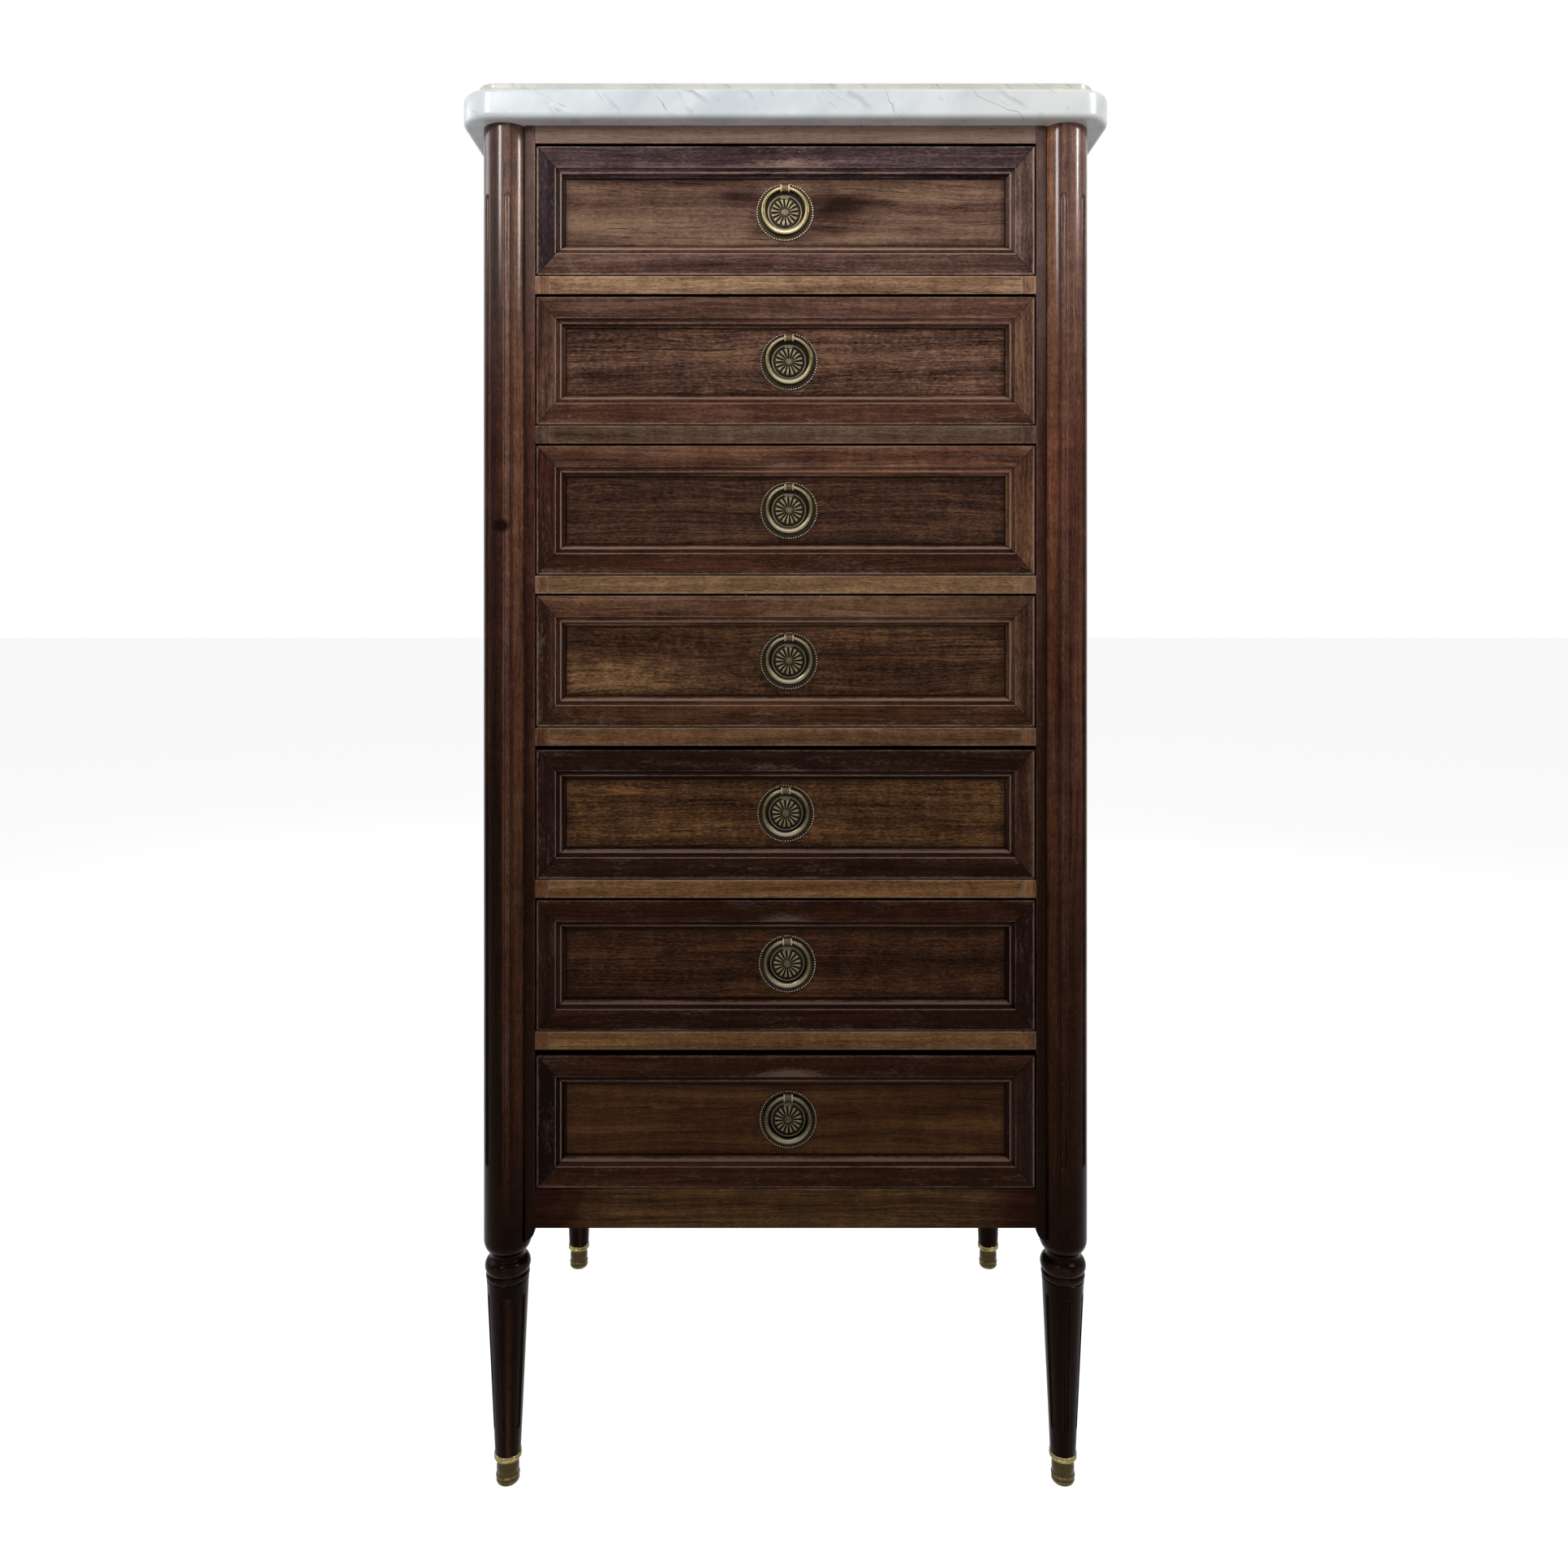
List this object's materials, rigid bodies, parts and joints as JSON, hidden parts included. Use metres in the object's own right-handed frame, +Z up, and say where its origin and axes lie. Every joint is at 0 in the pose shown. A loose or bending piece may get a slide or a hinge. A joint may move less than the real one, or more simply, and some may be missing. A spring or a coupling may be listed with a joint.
{
  "type": "chest of drawers",
  "caption": "Tall narrow chest of drawers with a moulded marble top, fluted columns, tapered turned legs in brass cups and hanging ring pulls.",
  "frame": {"origin": "on the floor, midway between the sides of the marble top and midway between its front and back", "axes": "+Z up; +X to the right as the chest is faced; drawers open towards -Y"},
  "size_m": [0.6, 0.4, 1.3],
  "materials": {
    "mahogany": "dark stained mahogany, worn satin polish",
    "worn_rail_wood": "the same wood rubbed to a lighter, drier brown",
    "interior_wood": "plain oak, unpolished",
    "marble": "polished white marble with soft grey veins",
    "antique_brass": "cast and chased brass, darkened in the hollows"
  },
  "bodies": {
    "carcass": {"marble_top": "marble", "left_front_post": "mahogany", "right_front_post": "mahogany", "left_rear_post": "mahogany", "right_rear_post": "mahogany", "left_front_sabot": "antique_brass", "right_front_sabot": "antique_brass", "left_rear_sabot": "antique_brass", "right_rear_sabot": "antique_brass", "left_side_rails": "mahogany", "right_side_rails": "mahogany", "left_side_panel": "mahogany", "right_side_panel": "mahogany", "back_panel": "interior_wood", "rear_rails": "interior_wood", "top_front_rail": "mahogany", "divider_rail_1": "worn_rail_wood", "divider_rail_2": "worn_rail_wood", "divider_rail_3": "worn_rail_wood", "divider_rail_4": "worn_rail_wood", "divider_rail_5": "worn_rail_wood", "divider_rail_6": "worn_rail_wood", "bottom_front_rail": "mahogany", "drawer_runners_left": "interior_wood", "drawer_runners_right": "interior_wood"},
    "drawer_1": {"drawer_1_front": "mahogany", "drawer_1_box": "interior_wood", "drawer_1_bottom": "interior_wood", "drawer_1_backplate": "antique_brass"},
    "ring_1": {"drawer_1_ring": "antique_brass"},
    "drawer_2": {"drawer_2_front": "mahogany", "drawer_2_box": "interior_wood", "drawer_2_bottom": "interior_wood", "drawer_2_backplate": "antique_brass"},
    "ring_2": {"drawer_2_ring": "antique_brass"},
    "drawer_3": {"drawer_3_front": "mahogany", "drawer_3_box": "interior_wood", "drawer_3_bottom": "interior_wood", "drawer_3_backplate": "antique_brass"},
    "ring_3": {"drawer_3_ring": "antique_brass"},
    "drawer_4": {"drawer_4_front": "mahogany", "drawer_4_box": "interior_wood", "drawer_4_bottom": "interior_wood", "drawer_4_backplate": "antique_brass"},
    "ring_4": {"drawer_4_ring": "antique_brass"},
    "drawer_5": {"drawer_5_front": "mahogany", "drawer_5_box": "interior_wood", "drawer_5_bottom": "interior_wood", "drawer_5_backplate": "antique_brass"},
    "ring_5": {"drawer_5_ring": "antique_brass"},
    "drawer_6": {"drawer_6_front": "mahogany", "drawer_6_box": "interior_wood", "drawer_6_bottom": "interior_wood", "drawer_6_backplate": "antique_brass"},
    "ring_6": {"drawer_6_ring": "antique_brass"},
    "drawer_7": {"drawer_7_front": "mahogany", "drawer_7_box": "interior_wood", "drawer_7_bottom": "interior_wood", "drawer_7_backplate": "antique_brass"},
    "ring_7": {"drawer_7_ring": "antique_brass"}
  },
  "joints": [
    {"name": "drawer_1_slide", "type": "slide", "parent": "carcass", "child": "drawer_1", "axis": [0, -1, 0], "range_m": [0, 0.24]},
    {"name": "ring_1_swing", "type": "hinge", "parent": "drawer_1", "child": "ring_1", "pos_m": [-0.00054, -0.1803, 1.2053], "axis": [-1, 0, 0], "range_deg": [0, 100]},
    {"name": "drawer_2_slide", "type": "slide", "parent": "carcass", "child": "drawer_2", "axis": [0, -1, 0], "range_m": [0, 0.24]},
    {"name": "ring_2_swing", "type": "hinge", "parent": "drawer_2", "child": "ring_2", "pos_m": [0.00324, -0.1803, 1.0667], "axis": [-1, 0, 0], "range_deg": [0, 100]},
    {"name": "drawer_3_slide", "type": "slide", "parent": "carcass", "child": "drawer_3", "axis": [0, -1, 0], "range_m": [0, 0.24]},
    {"name": "ring_3_swing", "type": "hinge", "parent": "drawer_3", "child": "ring_3", "pos_m": [0.00324, -0.1803, 0.92865], "axis": [-1, 0, 0], "range_deg": [0, 100]},
    {"name": "drawer_4_slide", "type": "slide", "parent": "carcass", "child": "drawer_4", "axis": [0, -1, 0], "range_m": [0, 0.24]},
    {"name": "ring_4_swing", "type": "hinge", "parent": "drawer_4", "child": "ring_4", "pos_m": [0.00324, -0.1803, 0.7891], "axis": [-1, 0, 0], "range_deg": [0, 100]},
    {"name": "drawer_5_slide", "type": "slide", "parent": "carcass", "child": "drawer_5", "axis": [0, -1, 0], "range_m": [0, 0.24]},
    {"name": "ring_5_swing", "type": "hinge", "parent": "drawer_5", "child": "ring_5", "pos_m": [0.00027, -0.1803, 0.64765], "axis": [-1, 0, 0], "range_deg": [0, 100]},
    {"name": "drawer_6_slide", "type": "slide", "parent": "carcass", "child": "drawer_6", "axis": [0, -1, 0], "range_m": [0, 0.24]},
    {"name": "ring_6_swing", "type": "hinge", "parent": "drawer_6", "child": "ring_6", "pos_m": [0.00162, -0.1803, 0.50805], "axis": [-1, 0, 0], "range_deg": [0, 100]},
    {"name": "drawer_7_slide", "type": "slide", "parent": "carcass", "child": "drawer_7", "axis": [0, -1, 0], "range_m": [0, 0.24]},
    {"name": "ring_7_swing", "type": "hinge", "parent": "drawer_7", "child": "ring_7", "pos_m": [0.00243, -0.1803, 0.36365], "axis": [-1, 0, 0], "range_deg": [0, 100]}
  ]
}
